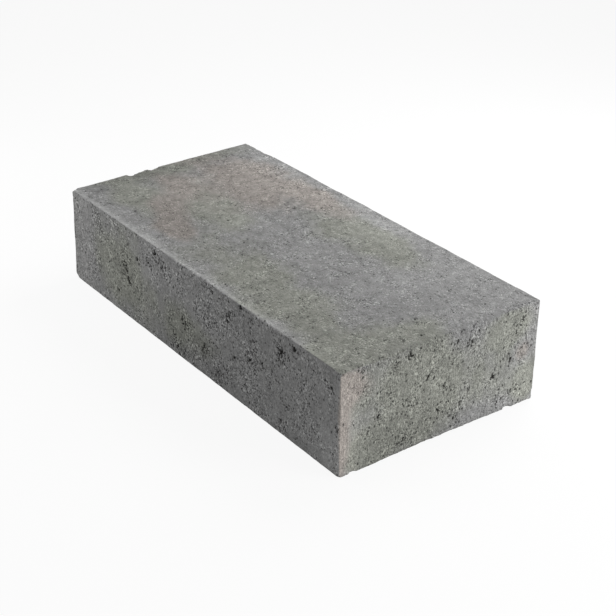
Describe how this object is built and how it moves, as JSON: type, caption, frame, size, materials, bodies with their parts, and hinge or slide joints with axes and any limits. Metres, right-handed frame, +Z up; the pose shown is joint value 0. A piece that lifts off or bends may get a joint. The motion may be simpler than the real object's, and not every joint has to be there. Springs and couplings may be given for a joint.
{
  "type": "solid concrete brick",
  "caption": "Solid rectangular grey concrete brick with square faces and slightly rounded arrises, for laying in mortar or as loose paving.",
  "frame": {"origin": "centre of the bed face that the brick lies on", "axes": "+X along the length, +Y along the width, +Z up through the height"},
  "size_m": [0.25, 0.12, 0.055],
  "materials": {
    "concrete": "matt grey pressed concrete, fine sand texture with small open pores on the sides"
  },
  "bodies": {
    "root": {"brick": "concrete"}
  },
  "joints": []
}
